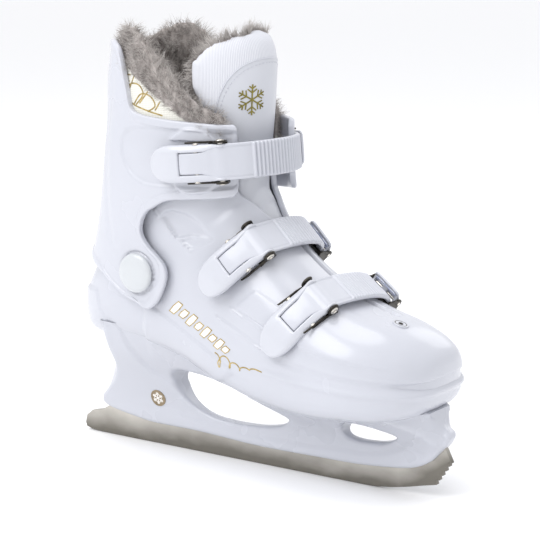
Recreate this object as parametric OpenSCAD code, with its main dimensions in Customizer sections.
// Ice skate with a hinged cuff and three ratchet buckles, right foot.
// +X points to the toe, +Y to the inner (medial) side, +Z up.
// The origin is the middle of the blade's flat running face.

/* [Boot] */
// Wall thickness of the hard shell and cuff
shell_wall = 3; // [2:0.5:4]
// Thickness of the foot liner
liner_thick = 4.5; // [3:0.5:6]
// Thickness of the insole
insole_thick = 3; // [2:0.5:5]
// Height of the back of the cuff above the ground
cuff_back_top = 283; // [270:1:290]
// Height of the cuff's sides above the ground
cuff_side_top = 233; // [228:1:240]

/* [Cuff pivot] */
// Pivot axis, distance behind the origin
pivot_x = -67.7; // [-72:0.1:-62]
// Pivot axis, height above the ground
pivot_z = 130.6; // [126:0.1:136]
// Diameter of the pivot cap
pivot_cap_d = 26.5; // [20:0.5:28]
// Diameter of the pivot rivet
pivot_d = 8; // [6:0.5:10]

/* [Blade] */
// Thickness of the blade
blade_t = 3.9; // [3:0.1:4.5]
// Thickness of the holder's rail
rail_w = 11; // [9:0.5:13]
// Depth of the blade inside the rail
blade_inset = 7; // [5:0.5:9]

/* [Buckles] */
// Width of the ratchet straps
strap_w = 23.4; // [20:0.1:26]
// Thickness of the straps
strap_t = 2.4; // [2:0.1:3]
// Width of the strap's tongue inside the lever's fork
strap_tongue_w = 13.6; // [12:0.1:15]
// Width of the buckle levers
lever_w = 24.6; // [22:0.2:27]
// Pitch of the strap's ribs
rib_pitch = 2.6; // [2:0.1:3.5]
// Diameter of the buckle rivets
rivet_d = 3.4; // [3:0.1:4]

/* [Hidden] */
$fn = 48;

// ---------- Curves through hand-chosen points ----------

// Point at t (0 to 1) on a Catmull-Rom curve between b and c, with neighbours a and d
function crom(a, b, c, d, t) = 0.5 * (2 * b + (c - a) * t
    + (2 * a - 5 * b + 4 * c - d) * t * t
    + (3 * b - a - 3 * c + d) * t * t * t);
// Value at position s along a list, where s runs from 0 to len - 1
function along(list, s) =
    let (n = len(list) - 1, i = min(floor(s), n - 1), t = s - i)
    crom(list[max(i - 1, 0)], list[i], list[i + 1], list[min(i + 2, n)], t);
// The whole list resampled with k steps between neighbours
function smooth(list, k) = [for (s = [0 : 1 / k : len(list) - 1 + 0.001]) along(list, min(s, len(list) - 1))];
function spow(x, e) = sign(x) * pow(abs(x), e);
// Unit normal to the left of a polyline at point i
function left(path, i) =
    let (a = path[max(i - 1, 0)], b = path[min(i + 1, len(path) - 1)], d = b - a)
    [-d[1], d[0]] / norm(d);
// Both sides of a strip that follows a path: inner and outer offsets
function strip(path, inner, outer) = concat(
    [for (i = [0 : len(path) - 1]) path[i] + left(path, i) * inner],
    [for (i = [len(path) - 1 : -1 : 0]) path[i] + left(path, i) * outer]);

// ---------- Boot: stations from the toe over the heel to the ankle ----------
// Each ring lies in a plane through a sole or heel point S and a ridge point R.
// [S x, S z, R x, R z, half width, centre y, lower squareness, throat edge inner, outer]
stations = [
    [140.6, 72, 140.6, 88, 12, 11, 2.4, 9, 9],
    [138, 62, 138.5, 93.5, 24, 9, 3, 9, 9],
    [133, 56, 133.5, 99, 32.5, 7, 3.6, 9, 9],
    [124, 53, 125, 105, 39.5, 4, 4, 9, 9],
    [110, 51, 112, 110.5, 44.5, 1, 4.4, 9, 9],
    [90, 50, 93, 115.5, 47.5, -1, 4.4, 10.4, 7.6],
    [66, 48.5, 73, 123.5, 47, -1.5, 4.4, 10.6, 7.4],
    [40, 49, 53, 134.5, 45, -1.5, 4.2, 10.6, 7.4],
    [12, 52.5, 37, 147, 42.5, -1.5, 4, 11, 7],
    [-16, 60, 25, 159, 40, -1, 3.8, 12, 4],
    [-44, 70.5, 17, 169.5, 38, -0.5, 3.6, 14, -4],
    [-72, 76, 12, 178.5, 37.5, 0, 3.4, 17, -14],
    [-98, 77, 10, 184.5, 37.5, 0, 3.2, 19, -20],
    [-127, 78.5, 9, 188, 37.5, 0, 2.7, 20, -24],
    [-136, 88, 8.3, 190.5, 37.5, 0, 2.4, 22, -27],
    [-137.5, 103, 7.8, 192.5, 37.3, 0, 2.25, 23, -29],
    [-131.9, 117, 7.4, 194.5, 37, 0, 2.2, 23, -30],
    [-123.5, 131, 7, 196.5, 36.8, 0, 2.3, 23, -30],
    [-119, 146, 6.4, 199.5, 36.8, 0, 2.4, 23, -30],
    [-114, 159, 5.7, 202.5, 36.8, 0, 2.6, 23, -30],
    [-108.5, 172, 5, 205.5, 36.8, 0, 2.6, 23, -30]
];
ridge_square = 2.5;
throat_start = 4.5;
station_end = len(stations) - 1;

// Point on the boot's surface, moved inwards by off. a is 0 at the ridge and 90 at the inner side
function boot_pt(s, a, off) =
    let (
        q = along(stations, s),
        from = [q[0], q[1]],
        to = [q[2], q[3]],
        dir = (to - from) / norm(to - from),
        low = from + dir * off,
        high = to - dir * off,
        w = max(q[4] - off, 2),
        n = cos(a) > 0 ? ridge_square : q[6],
        split = 0.42 + 0.08 * min(max((s - 6) / 4, 0), 1),
        mid = low + (high - low) * split,
        v = spow(cos(a), 2 / n),
        p = v > 0 ? mid + (high - mid) * v : mid + (mid - low) * v
    )
    [p[0], q[5] + w * spow(sin(a), 2 / n), p[1]];

// A closed or C-shaped tube wall between two offsets, from station s0 to s1.
// Rings up to open_at are closed and later ones stop at the edges e0 and e1.
module boot_wall(s0, s1, off_out, off_in, cols, open_at, edges, inner_start = 0.5, per = 2) {
    rows = round((s1 - s0) * per);
    open_row = round((open_at - s0) * per);
    in_row = round(inner_start * per);
    layer = (rows + 1) * (cols + 1);
    outer = [for (r = [0 : rows]) for (c = [0 : cols])
        let (s = s0 + r / per, e = edges(s))
        boot_pt(s, e[0] + (360 + e[1] - e[0]) * c / cols, off_out)];
    inner = [for (r = [0 : rows]) for (c = [0 : cols])
        let (s = s0 + max(r, in_row) / per, e = edges(s))
        boot_pt(s, e[0] + (360 + e[1] - e[0]) * c / cols, off_in)];
    // Closed rings use the first column's points for the last one
    function at(k, r, c) = k * layer + r * (cols + 1) + (c == cols && r <= open_row ? 0 : c);
    function tri2(a, b, c, d) = [[a, c, b], [a, d, c]];
    faces = concat(
        [for (r = [0 : rows - 1]) for (c = [0 : cols - 1])
            each tri2(at(0, r, c), at(0, r, c + 1), at(0, r + 1, c + 1), at(0, r + 1, c))],
        [for (r = [in_row : rows - 1]) for (c = [0 : cols - 1])
            each tri2(at(1, r, c), at(1, r + 1, c), at(1, r + 1, c + 1), at(1, r, c + 1))],
        [[for (c = [0 : cols - 1]) at(0, 0, c)]],
        [[for (c = [cols - 1 : -1 : 0]) at(1, in_row, c)]],
        [for (c = [0 : cols - 1])
            each tri2(at(0, rows, c), at(0, rows, c + 1), at(1, rows, c + 1), at(1, rows, c))],
        [for (r = [open_row : rows - 1])
            each tri2(at(0, r, 0), at(0, r + 1, 0), at(1, r + 1, 0), at(1, r, 0))],
        [for (r = [open_row : rows - 1])
            each tri2(at(0, r + 1, cols), at(0, r, cols), at(1, r, cols), at(1, r + 1, cols))]
    );
    polyhedron(concat(outer, inner), faces);
}

// A closed patch of boot wall between two angles
module boot_patch(s0, s1, a0, a1, off_out, off_in, cols, per = 2) {
    rows = round((s1 - s0) * per);
    pts = [for (k = [0, 1]) for (r = [0 : rows]) for (c = [0 : cols])
        boot_pt(s0 + r / per, a1 + (a0 - a1) * c / cols, k == 0 ? off_out : off_in)];
    closed_grid(pts, rows, cols);
}

// A slab from two layers of points on the same grid
module closed_grid(pts, rows, cols) {
    layer = (rows + 1) * (cols + 1);
    function at(k, r, c) = k * layer + r * (cols + 1) + c;
    function tri2(a, b, c, d) = [[a, b, c], [a, c, d]];
    polyhedron(pts, concat(
        [for (r = [0 : rows - 1]) for (c = [0 : cols - 1])
            each tri2(at(0, r, c), at(0, r, c + 1), at(0, r + 1, c + 1), at(0, r + 1, c))],
        [for (r = [0 : rows - 1]) for (c = [0 : cols - 1])
            each tri2(at(1, r, c), at(1, r + 1, c), at(1, r + 1, c + 1), at(1, r, c + 1))],
        [for (c = [0 : cols - 1]) each tri2(at(0, 0, c + 1), at(0, 0, c), at(1, 0, c), at(1, 0, c + 1))],
        [for (c = [0 : cols - 1])
            each tri2(at(0, rows, c), at(0, rows, c + 1), at(1, rows, c + 1), at(1, rows, c))],
        [for (r = [0 : rows - 1]) each tri2(at(0, r, 0), at(0, r + 1, 0), at(1, r + 1, 0), at(1, r, 0))],
        [for (r = [0 : rows - 1])
            each tri2(at(0, r + 1, cols), at(0, r, cols), at(1, r, cols), at(1, r + 1, cols))]
    ));
}

module pivot_bores(d) {
    translate([pivot_x, 0, pivot_z]) rotate([90, 0, 0]) cylinder(h = 140, d = d, center = true);
}

module lower_shell() {
    color("white") difference() {
        boot_wall(0, station_end, 0, shell_wall, 40, throat_start,
            function (s) let (q = along(stations, s)) [q[7], q[8]], 1);
        pivot_bores(pivot_d);
    }
}

liner_gap = 1.2;
liner_out = shell_wall + liner_gap;
liner_in = liner_out + liner_thick;
tongue_edges = [-33, 40];
module liner_foot() {
    color("gainsboro") boot_wall(2, station_end, liner_out, liner_in, 32, 6,
        function (s) s <= 6 ? [9, 9] : [tongue_edges[1], tongue_edges[0]], 0.5);
}

module tongue_lower() {
    color("whitesmoke") boot_patch(6.5, station_end, tongue_edges[0] + 3, tongue_edges[1] - 3,
        liner_out, liner_in, 10);
}

module insole() {
    color("lightgray") boot_patch(3.5, 12, 142, 218, liner_in + 0.3, liner_in + 0.3 + insole_thick, 8);
}

// ---------- Cuff: columns round the ankle, each with a low, a middle and a top point ----------
cuff_mid_x = -55;
// [height, back x, front x, half width]
cuff_sections = [
    [100, -137, 34, 42.5],
    [132, -130.5, 30, 43],
    [160, -123, 26, 44],
    [184, -118, 23, 45.5],
    [204, -114.6, 20.5, 46.5],
    [231, -110.7, 20, 46.5],
    [262, -109.5, 20, 45.5],
    [290, -105, 19, 44]
];
cuff_square = 2.35;
// Position of height z in the list of sections
function cuff_pos(z) = lookup(z, [for (i = [0 : len(cuff_sections) - 1]) [cuff_sections[i][0], i]]);
// Point on the cuff's surface, moved inwards by off. a is 0 at the front and 180 at the back
function cuff_pt(a, z, off, side) =
    let (
        q = along(cuff_sections, cuff_pos(z)),
        reach = (cos(a) > 0 ? q[2] - cuff_mid_x : cuff_mid_x - q[1]) - off,
        e = 2 / cuff_square
    )
    [cuff_mid_x + reach * spow(cos(a), e), side * (q[3] - off) * spow(sin(a), e), z];

// One side of the cuff, from its front edge to the back:
// [low angle, low z, middle angle, middle z, top angle, top z]
cuff_columns = [
    [38, 187, 38, 208, 38, cuff_side_top],
    [54, 185, 52, 208, 52, cuff_side_top],
    [71, 183.4, 68, 206, 66, cuff_side_top + 1],
    [83, 181, 82, 202, 80, cuff_side_top + 2],
    [91, 173, 94, 193, 92, cuff_side_top + 4],
    [94.6, 164, 101, 180, 101, cuff_side_top + 8],
    [94.3, 156.5, 106, 168, 106, cuff_side_top + 22],
    [89.5, 146.5, 110, 160, 112, cuff_back_top - 14],
    [84.6, 136, 115, 157, 120, cuff_back_top - 4],
    [85.3, 124, 121, 156, 130, cuff_back_top],
    [90.8, 107.3, 128, 158, 142, cuff_back_top + 1],
    [97, 109.8, 134, 162, 148.5, cuff_back_top + 0.5],
    [104, 113, 140, 166, 155, cuff_back_top],
    [114, 119.5, 147, 169.5, 160.5, cuff_back_top - 0.5],
    [125, 126, 154, 173, 166, cuff_back_top - 1],
    [150, 133.5, 167, 177, 173, cuff_back_top - 1.5],
    [180, 138, 180, 180, 180, cuff_back_top - 2]
];
front_edge_inner = 18;

// Column at position s: angle and height at t, 0 at the low end and 1 at the top
function column_at(s, t) =
    let (q = along(cuff_columns, s), m = 0.5)
    t < m ? [q[0], q[1]] + ([q[2], q[3]] - [q[0], q[1]]) * t / m
          : [q[2], q[3]] + ([q[4], q[5]] - [q[2], q[3]]) * (t - m) / (1 - m);

module cuff_wall(off_out, off_in, per, rows) {
    n = len(cuff_columns) - 1;
    cols = 2 * n * per;
    pts = [for (k = [0, 1]) for (r = [0 : rows]) for (c = [0 : cols])
        let (
            side = c <= n * per ? -1 : 1,
            s = c <= n * per ? c / per : (cols - c) / per,
            p = column_at(s, r / rows),
            // The inner front edge reaches further round the shin
            pull = side > 0 ? max(0, 1 - s / 3) * front_edge_inner : 0
        )
        cuff_pt(p[0] - pull, p[1], k == 0 ? off_out : off_in, side)];
    closed_grid(pts, rows, cols);
}

pivot_clear = 0.1;
module cuff() {
    color("white") difference() {
        cuff_wall(0, shell_wall, 2, 12);
        pivot_bores(pivot_d + 2 * pivot_clear);
    }
}

// Soft collar inside the cuff, from above the boot's rim to the fur edge
collar_gap = 0.8;
collar_thick = 7;
// [angle, low z, top z] from the front edge to the back
collar_columns = [
    [42, 212, 238], [54, 210, 243], [66, 207, 250], [80, 203, 264], [94, 198, 282],
    [108, 193, 290], [124, 188, 292], [142, 183, 290], [160, 179, 287], [180, 177, 285]
];
module liner_collar() {
    n = len(collar_columns) - 1;
    cols = 2 * n * 2;
    rows = 8;
    color("silver") closed_grid([for (k = [0, 1]) for (r = [0 : rows]) for (c = [0 : cols])
        let (
            side = c <= n * 2 ? -1 : 1,
            q = along(collar_columns, (c <= n * 2 ? c : cols - c) / 2),
            z = q[1] + (q[2] - q[1]) * r / rows
        )
        cuff_pt(q[0], z, shell_wall + collar_gap + k * collar_thick, side)], rows, cols);
}

// Padded front of the shin: [z, front x, half width, half angle round the shin, drop at its edges]
tongue_rows = [
    [208, 6, 32.5, 62, 0], [228, 8, 33.5, 68, 0], [254, 10, 34, 76, 2], [274, 12, 34.5, 80, 6],
    [288, 10, 34.5, 78, 10], [296, 5, 34, 72, 14]
];
tongue_thick = 8;
tongue_mid_x = -38;
module tongue_upper() {
    rows = (len(tongue_rows) - 1) * 2;
    cols = 16;
    color("whitesmoke") closed_grid([for (k = [0, 1]) for (r = [0 : rows]) for (c = [0 : cols])
        let (
            q = along(tongue_rows, r / 2),
            a = (1 - c / cols * 2) * q[3],
            off = k * tongue_thick
        )
        [
            tongue_mid_x + (q[1] - tongue_mid_x - off) * cos(a),
            (q[2] - off) * sin(a),
            q[0] - (1 - cos(a)) * q[4]
        ]], rows, cols);
}

// ---------- Pivot caps and rivets ----------
cuff_face_y = 43.3;
module pivot_side(side) {
    translate([pivot_x, 0, pivot_z]) rotate([side * -90, 0, 0]) children();
}
cap_gap = 0.6;
pivot_head_y = 33.4;
pivot_head_h = 0.9;
module pivot_cap(side) {
    color("white") pivot_side(side) translate([0, 0, cuff_face_y + cap_gap]) rotate_extrude($fn = 96)
        polygon([[0, 0], [pivot_cap_d / 2 - 0.6, 0], [pivot_cap_d / 2, 0.8], [pivot_cap_d / 2 - 0.3, 1.6],
            [pivot_cap_d / 2 - 1.6, 2.3], [6, 2.9], [0, 3]]);
}
module pivot_rivet(side) {
    color("silver") pivot_side(side) union() {
        translate([0, 0, pivot_head_y]) cylinder(h = cuff_face_y + cap_gap - pivot_head_y, d = pivot_d);
        translate([0, 0, pivot_head_y]) cylinder(h = pivot_head_h, d = pivot_d + 5);
    }
}

module throat_rivet() {
    color("silver") translate([112, -2.7, 110.4]) rotate([1, 18.3, 0]) rotate_extrude()
        polygon([[0, -2.4], [2.2, -2.4], [2.2, 0.2], [4.5, 0.2], [4.2, 1.1], [2.5, 1.7], [0, 1.9]]);
}

// ---------- Blade and holder ----------
pick_x = 2.3;
pick_z = 3.4;
blade_outline = concat(
    // Running edge, with its flat middle and the rocker at both ends
    [[-142.4, 0.6], [-135, 0.25], [-125, 0.05], [-110, 0], [85, 0], [95, 0.4], [106, 1.7], [119, 4.3],
     [131, 7.3], [138, 8.9]],
    // Toe picks: five steps up the front
    [for (i = [0 : 4]) each [[139.4 + i * pick_x, 9.2 + i * pick_z], [138.8 + i * pick_x, 12 + i * pick_z]]],
    [[150, 25], [146, 33], [142, 40], [128, 34], [100, 22]],
    // Hidden upper edge inside the rail, and the tail
    [[60, 20], [-46, 22], [-100, 24], [-118, 26], [-132.8, 17.2], [-142.8, 14.8], [-147.9, 10.6],
     [-149.2, 5.2], [-148.1, 1.9]]
);
module blade() {
    color("darkgray") rotate([90, 0, 0]) linear_extrude(blade_t, center = true) polygon(blade_outline);
}

holder_low = [[-132, 27], [-129.6, 22.9], [-120, 20], [-101, 17], [-84, 15.2], [-46, 15], [4, 12.8],
    [52, 13.2], [80, 13.6], [100, 15], [116.5, 16.9], [127, 19.6], [136, 24.6], [142, 30.6], [147.4, 37]];
holder_front = [[149.2, 41.3], [147.9, 44.3], [143.4, 47.3], [140, 51.5], [137.5, 57]];
holder_back = [[-117, 76], [-116.5, 66], [-116.5, 57.7], [-117.5, 51.8], [-120, 44.5], [-123.5, 39],
    [-128.5, 33.2], [-131.4, 29.5]];
sole_gap = 0.35;
// Underside of the boot along the sole, from toe to heel
sole_line = concat(smooth([for (i = [2 : 12]) [stations[i][0], stations[i][1] - sole_gap]], 2), [[-112, 76.7]]);
rear_window = [[-63.5, 51], [-59, 42], [-50, 33.6], [-36, 27.8], [-15, 25.6], [6, 26.8], [21, 29.8], [28, 34],
    [27, 37], [9, 43.4], [-13.5, 51], [-34, 57], [-52, 59], [-61, 57]];
front_window = [[71, 36], [74, 31.6], [82.5, 29.9], [95.5, 30.4], [105, 32.4], [112.2, 36.6], [111, 38.6],
    [103, 41], [94, 43.2], [84, 44], [76, 42.5]];
// Half width of the holder against height, from the rail up to the sole: [rail's top, sole, half width there]
heel_flare = [25, 80, 33];
toe_flare = [30, 54, 38];
flare_power = 1.7;
function flare(z, f) =
    let (rise = min(max((z - f[0]) / (f[1] - f[0]), 0), 1))
    rail_w / 2 + (f[2] - rail_w / 2) * pow(rise, flare_power);
module flared(f, x0, x1) {
    heights = [for (i = [0 : 12]) f[0] + (f[1] - f[0]) * i / 12];
    translate([x0, 0, 0]) rotate([90, 0, 90]) linear_extrude(x1 - x0) polygon(concat(
        [[rail_w / 2, 5]], [for (z = heights) [flare(z, f), z]],
        [[f[2], 100], [-f[2], 100]],
        [for (i = [12 : -1 : 0]) [-flare(heights[i], f), heights[i]]], [[-rail_w / 2, 5]]));
}
// The flare changes from heel to toe in steps: [start, end, share of the toe's flare]
flare_steps = [[-140, -4, 0], [-4, 8, 0.2], [8, 20, 0.45], [20, 34, 0.75], [34, 152, 1]];
// Half width of the holder's toe seen from above
toe_tip_half = 6.5;
function toe_half(x) = max(38 * pow(max(1 - pow((x - 95) / 52, 2), 0), 0.9), toe_tip_half);
module holder_side() {
    rotate([90, 0, 0]) linear_extrude(110, center = true) difference() {
        polygon(concat(smooth(holder_low, 3), smooth(holder_front, 3), sole_line, smooth(holder_back, 3)));
        polygon(smooth(concat(rear_window, [rear_window[0]]), 4));
        polygon(smooth(concat(front_window, [front_window[0]]), 4));
    }
}
module blade_holder() {
    toe_x = [for (x = [96 : 6 : 144]) x];
    color("white") difference() {
        intersection() {
            holder_side();
            union() for (s = flare_steps)
                flared(heel_flare * (1 - s[2]) + toe_flare * s[2], s[0], s[1]);
            // Rounded heel and toe seen from above
            linear_extrude(100) polygon(concat(
                [for (a = [90 : 10 : 270]) [-100 + 34 * cos(a), 34 * sin(a)]],
                [[0, -37], [60, -42]], [for (x = toe_x) [x, -toe_half(x)]], [[152, -toe_tip_half]],
                [[152, toe_tip_half]], [for (i = [len(toe_x) - 1 : -1 : 0]) [toe_x[i], toe_half(toe_x[i])]],
                [[60, 42], [0, 37]]));
        }
        rotate([90, 0, 0]) linear_extrude(blade_t, center = true) polygon(blade_outline);
    }
}

// Round printed badge on the outer side of the heel post
badge_at = [-78.8, 34.5];
badge_d = 12;
module heel_badge() {
    tilt = 14.5;
    color("goldenrod") translate([badge_at[0], -flare(badge_at[1], heel_flare) - 0.15, badge_at[1]])
        rotate([90 + tilt, 0, 0]) cylinder(h = 0.6, d = badge_d);
}

// [x, y, height of the head's seat, length] of the screws that hold the holder to the boot
screw_spots = [[-104, -14, 79.2, 17], [-104, 14, 79.2, 17], [-68, 0, 77.6, 15], [60, -12, 51.6, 10],
    [60, 12, 51.6, 10], [110, 0, 54.2, 10]];
screw_d = 4.2;
screw_head_h = 0.7;
module sole_screws() {
    color("silver") for (p = screw_spots) translate([p[0], p[1], p[2]]) {
        translate([0, 0, -p[3]]) cylinder(h = p[3], d = screw_d);
        cylinder(h = screw_head_h, d = 2 * screw_d);
    }
}

// ---------- Buckle: drawn in the strap's own plane ----------
// x points away from the foot, y to the inner side and z along the strap's width.
// Centre line of the strap after the lever, ending in the tail behind the ratchet
strap_route_top = [[25, -40], [32, -32.5], [37.5, -22], [40.6, -9], [41, 2], [37.8, 13], [33.4, 22.7],
    [27.8, 31.4], [20.3, 39.2], [10.2, 43.5], [-0.8, 48.2], [-9, 51]];
strap_route_mid = [[1.2, -24.8], [3.4, -13], [4.6, 0], [4.4, 11], [2.4, 21], [-2.4, 29], [-12.5, 35.5],
    [-22.6, 42], [-30, 45.5], [-38, 47.5]];
strap_route_toe = [[4.8, -24], [6.2, -12], [6.6, 0], [6.2, 12], [4.8, 22], [1.4, 31.8], [-6.7, 40.6],
    [-15.3, 48.9], [-21.3, 53.2], [-28.5, 56]];
// [ridge point, tilt of the width from upright, hinge point, lever direction, bracket tilt, route,
//  ratchet's place on the route, skew of the strap across the foot]
TOP = [[-16, 0, 208.5], 5, [18.5, -43.5], 190, 15, strap_route_top, 9, 0];
MID = [[23.5, 0, 160.5], 47.3, [-1.5, -31], 198, 16, strap_route_mid, 6, -5];
TOE = [[68, 0, 126.6], 55.1, [2.5, -30.5], 204, 32, strap_route_toe, 6, -6];
lever_len = 51;
module in_plane(b) {
    hinge_y = [0, b[2][1], 0];
    translate(b[0]) rotate([0, -b[1], 0])
        translate(hinge_y) rotate([b[7], 0, 0]) translate(-hinge_y) children();
}
module at_hinge(b) {
    in_plane(b) translate([b[2][0], b[2][1], 0]) rotate([0, 0, b[3]]) children();
}
module both_sides() {
    children();
    mirror([0, 0, 1]) children();
}
function turn(p, a) = [p[0] * cos(a) - p[1] * sin(a), p[0] * sin(a) + p[1] * cos(a)];

// Strap pin in the lever's own frame: x to the lever's rear, y outwards
pin_r = 16.1;
pin_a = 14;
pin_at = pin_r * [cos(pin_a), sin(pin_a)];
run_fit = 0.1;
head_h = 1;
arm_in = strap_tongue_w / 2 + 0.5;
ear_t = 1.2;
ear_z = lever_w / 2 + 0.2;
boss_r = 4.1;

// Side view of a lever: an arched blade of plastic with a boss at the hinge
lever_rise = 5.5;
lever_half_t = 2.7;
lever_tip_half_t = 1.6;
lever_steps = 24;
module lever_profile() {
    r = (pow(lever_len / 2, 2) + pow(lever_rise, 2)) / (2 * lever_rise);
    reach = asin(lever_len / 2 / r);
    function arc(i, off) =
        let (a = (2 * i / lever_steps - 1) * reach)
        [lever_len / 2, lever_rise - r] + (r + off) * [sin(a), cos(a)];
    // The underside thins from the middle to the rear tip
    function under(i) = max(lever_tip_half_t, lever_half_t - max(0, i / lever_steps - 0.42) * 2.9);
    polygon(concat(
        [for (i = [0 : lever_steps]) arc(i, lever_half_t)],
        [for (i = [lever_steps : -1 : 0]) arc(i, -under(i))]));
}
notch_len = 27;
module lever(b) {
    color("white") at_hinge(b) difference() {
        intersection() {
            union() {
                linear_extrude(lever_w, center = true) lever_profile();
                cylinder(h = lever_w, r = boss_r, center = true);
            }
            // Rounded rear end seen from outside
            rotate([-90, 0, 0]) translate([0, 0, -20]) linear_extrude(60) {
                translate([-6, -lever_w / 2]) square([lever_len - 4, lever_w]);
                translate([lever_len - 10, 0]) circle(d = lever_w);
            }
        }
        // Notch between the fork's arms, where the strap's tongue lies
        translate([-10, -20, -arm_in]) cube([notch_len + 10, 60, 2 * arm_in]);
        cylinder(h = 60, d = rivet_d + 2 * run_fit, center = true);
        translate([pin_at[0], pin_at[1], 0]) cylinder(h = 60, d = rivet_d, center = true);
    }
}
module lever_rivets(b) {
    color("silver") at_hinge(b) both_sides() {
        translate([0, 0, arm_in + 0.6]) cylinder(h = ear_z + ear_t - arm_in - 0.6, d = rivet_d);
        translate([0, 0, ear_z + ear_t]) cylinder(h = head_h, d = rivet_d + 2.6);
    }
}
module strap_pin(b) {
    color("silver") at_hinge(b) translate([pin_at[0], pin_at[1], 0])
        cylinder(h = lever_w + 0.8, d = rivet_d, center = true);
}

// Two ears and the plate that joins them
plate_drop = 4.6;
plate_back = 8.5;
plate_front = 4;
bracket_rivet_x = 4.5;
bracket_rivet_z = 4.3;
bracket_rivet_d = 3;
module bracket(b) {
    color("dimgray") at_hinge(b) difference() {
        rotate([0, 0, b[4]]) difference() {
            translate([0, 0, -ear_z - ear_t]) linear_extrude(2 * (ear_z + ear_t)) {
                circle(r = boss_r + 0.4);
                polygon([[-plate_front, -plate_drop - ear_t], [plate_back, -plate_drop - ear_t],
                    [plate_back, -plate_drop + 1], [3, 3], [-plate_front, 1]]);
            }
            translate([-10, -plate_drop, -ear_z]) cube([30, 20, 2 * ear_z]);
        }
        cylinder(h = 60, d = rivet_d, center = true);
        bracket_rivet_places(b) cylinder(h = 10, d = bracket_rivet_d, center = true);
    }
}
module bracket_rivet_places(b) {
    for (s = [-1, 1]) rotate([0, 0, b[4]]) translate([bracket_rivet_x, -plate_drop, s * bracket_rivet_z])
        rotate([90, 0, 0]) children();
}
bracket_rivet_len = 5.6;
module bracket_rivets(b) {
    color("silver") at_hinge(b) bracket_rivet_places(b) {
        cylinder(h = bracket_rivet_len, d = bracket_rivet_d);
        translate([0, 0, -0.5]) cylinder(h = 0.5, d = bracket_rivet_d + 2.4);
    }
}

// Points of the strap's tongue in the lever's frame
tongue_route = [[20, 4.8], pin_at, [8, 2.4], [0, 0.3]];
path_steps = 5;
wide_from = len(tongue_route) * path_steps;
rib_h = 0.7;
rib_w = strap_w - 6;
function strap_path(b) = smooth(concat([for (p = tongue_route) b[2] + turn(p, b[3])], b[5]), path_steps);
module strap(b) {
    path = strap_path(b);
    n = len(path) - 1;
    ribs_from = round(n * 0.5);
    pin = path[path_steps];
    color("white") in_plane(b) difference() {
        union() {
            linear_extrude(strap_tongue_w, center = true) {
                polygon(strip([for (i = [0 : wide_from]) path[i]], -strap_t / 2, strap_t / 2));
                translate(pin) circle(d = rivet_d + 2.4);
            }
            linear_extrude(strap_w, center = true)
                polygon(strip([for (i = [wide_from - 1 : n]) path[i]], -strap_t / 2, strap_t / 2));
            // Ribs across the strap
            for (i = [ribs_from : n - 1]) let (d = path[i + 1] - path[i])
                translate([path[i][0], path[i][1], 0]) rotate([0, 0, atan2(d[1], d[0])])
                    translate([0, -strap_t / 2 - rib_h, -rib_w / 2])
                        cube([rib_pitch / 2, rib_h + 0.4, rib_w]);
        }
        translate([pin[0], pin[1], 0]) cylinder(h = 60, d = rivet_d + 3 * run_fit, center = true);
    }
}

// Ratchet: x along the strap to its tail, y towards the foot
module at_ratchet(b) {
    p = b[5][b[6]];
    d = b[5][b[6] + 1] - p;
    in_plane(b) translate([p[0], p[1], 0]) rotate([0, 0, atan2(d[1], d[0])]) children();
}
frame_half = 9;
frame_top = 1.7;
frame_t = 1.2;
frame_z = strap_w / 2 + 0.6;
release_pin_at = [0, -6];
release_pin_d = 2.4;
ratchet_rivet_x = 5;
module ratchet_frame(b) {
    color("dimgray") at_ratchet(b) difference() {
        union() {
            translate([-frame_half, frame_top, -frame_z - frame_t])
                cube([2 * frame_half, frame_t, 2 * (frame_z + frame_t)]);
            both_sides() translate([0, 0, frame_z]) {
                translate(release_pin_at) cylinder(h = frame_t, r = 3);
                linear_extrude(frame_t) polygon([[-frame_half, frame_top + frame_t], [-frame_half, 0],
                    [-2.9, release_pin_at[1]], [2.9, release_pin_at[1]], [frame_half, 0],
                    [frame_half, frame_top + frame_t]]);
            }
        }
        translate(release_pin_at) cylinder(h = 60, d = release_pin_d, center = true);
        ratchet_rivet_places() cylinder(h = 10, d = bracket_rivet_d, center = true);
    }
}
module ratchet_rivet_places() {
    for (s = [-1, 1]) translate([s * ratchet_rivet_x, frame_top, 0]) rotate([-90, 0, 0]) children();
}
ratchet_rivet_len = 6.6;
module ratchet_rivets(b) {
    color("silver") at_ratchet(b) ratchet_rivet_places() cylinder(h = ratchet_rivet_len, d = bracket_rivet_d);
}
module release_pin(b) {
    color("silver") at_ratchet(b) translate([release_pin_at[0], release_pin_at[1], 0])
        cylinder(h = 2 * frame_z + 2 * frame_t + 0.8, d = release_pin_d, center = true);
}
release_w = 2 * frame_z - 0.8;
pawl_gap = 0.3;
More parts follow.
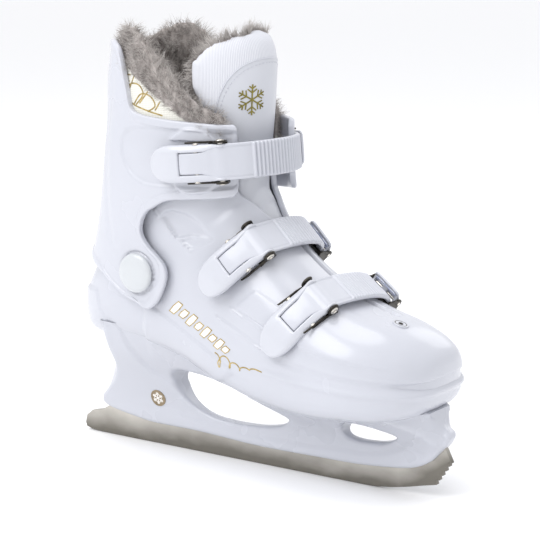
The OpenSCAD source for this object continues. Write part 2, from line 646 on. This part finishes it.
module release_lever(b) {
    pawl_y = -strap_t / 2 - rib_h - pawl_gap;
    color("white") at_ratchet(b) difference() {
        union() {
            translate(release_pin_at) cylinder(h = release_w, r = 2.6, center = true);
            // Pawl, then the cover plate with its raised finger edge
            linear_extrude(release_w, center = true)
                polygon([[-1.5, release_pin_at[1] + 1], [3.2, pawl_y], [4.6, pawl_y], [4.4, -6], [11, -9.4],
                    [11.6, -11.6], [9.5, -12], [3, -9.6], [-7, -9.2], [-8.6, -8.2], [-8, -7.2], [-3, -7.4]]);
        }
        translate(release_pin_at)
            cylinder(h = 60, d = release_pin_d + 2 * run_fit, center = true);
        // Pocket for the spring and the two windows in the cover plate
        translate([-3.2, -9.01 + 0.4, -4.5]) cube([6.6, 5.8, 9]);
        both_sides() translate([-6, -14, 2.4]) cube([3, 10, 7]);
    }
}
spring_wire = 0.8;
module release_spring(b) {
    color("silver") at_ratchet(b) translate([release_pin_at[0], release_pin_at[1], 0]) {
        for (i = [-2 : 2]) translate([0, 0, i * (spring_wire + 0.25)]) rotate_extrude()
            translate([release_pin_d / 2 + spring_wire / 2 + 0.15, 0]) circle(d = spring_wire, $fn = 16);
    }
}

lower_shell();
cuff();
blade_holder();
blade();
heel_badge();
sole_screws();
insole();
liner_foot();
liner_collar();
tongue_lower();
tongue_upper();
throat_rivet();
pivot_cap(-1);  // pivot_cap_lateral
pivot_cap(1);  // pivot_cap_medial
pivot_rivet(-1);  // pivot_rivet_lateral
pivot_rivet(1);  // pivot_rivet_medial
bracket(TOP);  // bracket_top
bracket_rivets(TOP);  // bracket_rivets_top
lever(TOP);  // lever_top
lever_rivets(TOP);  // lever_rivets_top
strap_pin(TOP);  // strap_pin_top
strap(TOP);  // strap_top
ratchet_frame(TOP);  // ratchet_frame_top
ratchet_rivets(TOP);  // ratchet_rivets_top
release_lever(TOP);  // release_lever_top
release_pin(TOP);  // release_pin_top
release_spring(TOP);  // release_spring_top
bracket(MID);  // bracket_mid
bracket_rivets(MID);  // bracket_rivets_mid
lever(MID);  // lever_mid
lever_rivets(MID);  // lever_rivets_mid
strap_pin(MID);  // strap_pin_mid
strap(MID);  // strap_mid
ratchet_frame(MID);  // ratchet_frame_mid
ratchet_rivets(MID);  // ratchet_rivets_mid
release_lever(MID);  // release_lever_mid
release_pin(MID);  // release_pin_mid
release_spring(MID);  // release_spring_mid
bracket(TOE);  // bracket_toe
bracket_rivets(TOE);  // bracket_rivets_toe
lever(TOE);  // lever_toe
lever_rivets(TOE);  // lever_rivets_toe
strap_pin(TOE);  // strap_pin_toe
strap(TOE);  // strap_toe
ratchet_frame(TOE);  // ratchet_frame_toe
ratchet_rivets(TOE);  // ratchet_rivets_toe
release_lever(TOE);  // release_lever_toe
release_pin(TOE);  // release_pin_toe
release_spring(TOE);  // release_spring_toe
